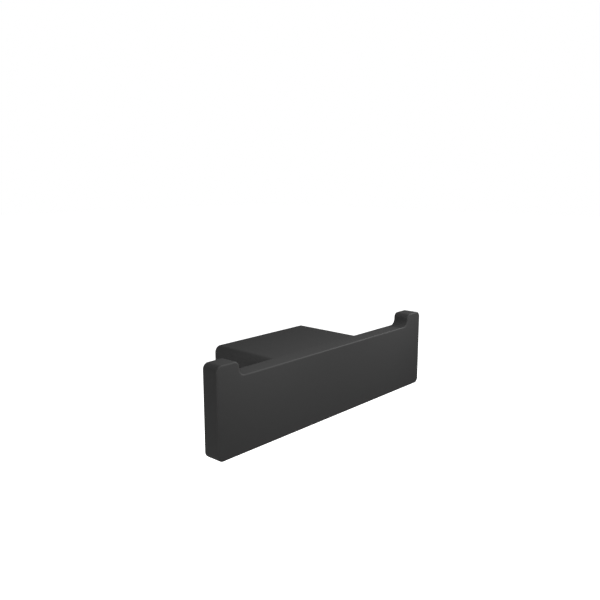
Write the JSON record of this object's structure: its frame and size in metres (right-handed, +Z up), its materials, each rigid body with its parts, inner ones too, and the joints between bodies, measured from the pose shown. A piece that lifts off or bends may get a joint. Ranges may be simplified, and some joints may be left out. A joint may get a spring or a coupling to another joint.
{
  "type": "double robe hook",
  "caption": "Wall-mounted double robe hook: a flat bar with upturned ends on a square post, held by a concealed bracket and a grub screw.",
  "frame": {"origin": "on the wall plane, at the middle of the post's end and midway between the bracket's screw slots", "axes": "+X along the bar, +Y into the wall, +Z up; the bar faces -Y"},
  "size_m": [0.11, 0.0361, 0.03],
  "materials": {
    "black_powder_coat": "matte",
    "bare_zinc": "satin",
    "screw_steel": "satin"
  },
  "bodies": {
    "root": {"hook": "black_powder_coat", "wall_bracket": "bare_zinc", "grub_screw": "screw_steel"}
  },
  "joints": []
}
